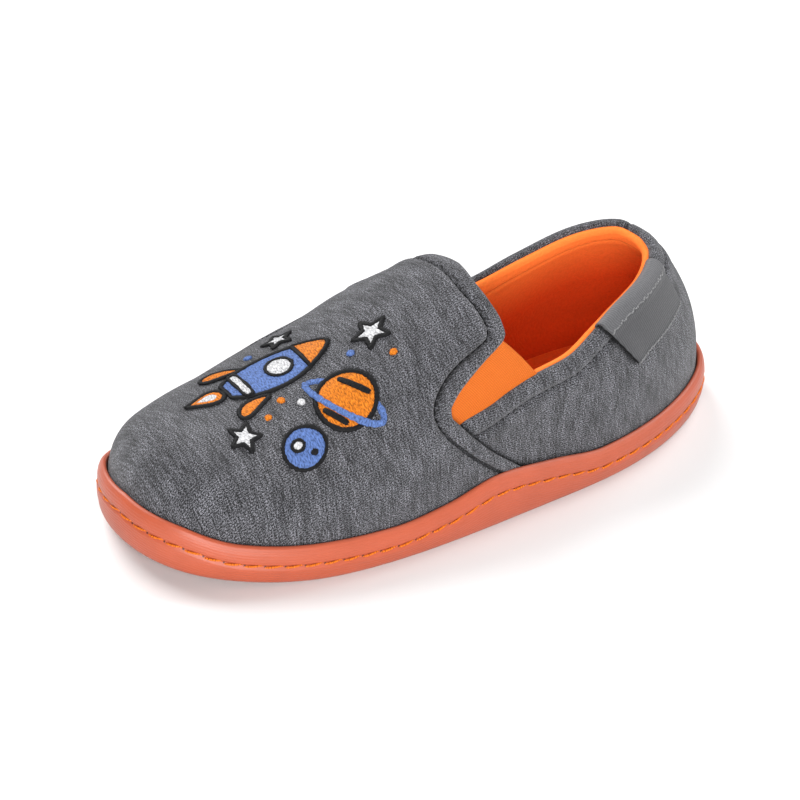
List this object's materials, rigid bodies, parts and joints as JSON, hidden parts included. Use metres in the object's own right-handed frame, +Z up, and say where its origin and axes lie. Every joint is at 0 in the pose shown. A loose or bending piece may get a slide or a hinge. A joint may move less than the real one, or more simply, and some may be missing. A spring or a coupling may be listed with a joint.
{
  "type": "moccasin slipper",
  "caption": "Child's slip-on moccasin slipper for the left foot: jersey upper with fleece inside, elastic gores at the throat, bare collar label and a rubber cup sole.",
  "frame": {"origin": "middle of the bounding box in plan, at the floor under the tread", "axes": "+Z up off the floor, +Y from the toe to the heel, +X to the outer side of the left foot"},
  "size_m": [0.0821, 0.2, 0.0663],
  "materials": {
    "sole_rubber": "satin coral rubber",
    "fleece": "napped orange fleece",
    "jersey": "brushed heather jersey",
    "elastic": "ribbed elastic",
    "tape": "woven tape",
    "thread_blue": "satin-stitched thread",
    "thread_orange": "satin-stitched thread",
    "thread_white": "satin-stitched thread"
  },
  "bodies": {
    "root": {"outsole": "sole_rubber", "insole": "fleece", "upper": "jersey", "gore_outer": "elastic", "gore_inner": "elastic", "collar_label": "tape", "motif_rocket": "thread_blue", "motif_fin_outer": "thread_orange", "motif_fin_inner": "thread_orange", "motif_flame": "thread_orange", "motif_planet": "thread_orange", "motif_star_rear": "thread_white", "motif_star_front": "thread_white", "motif_star_crest": "thread_white"}
  },
  "joints": []
}
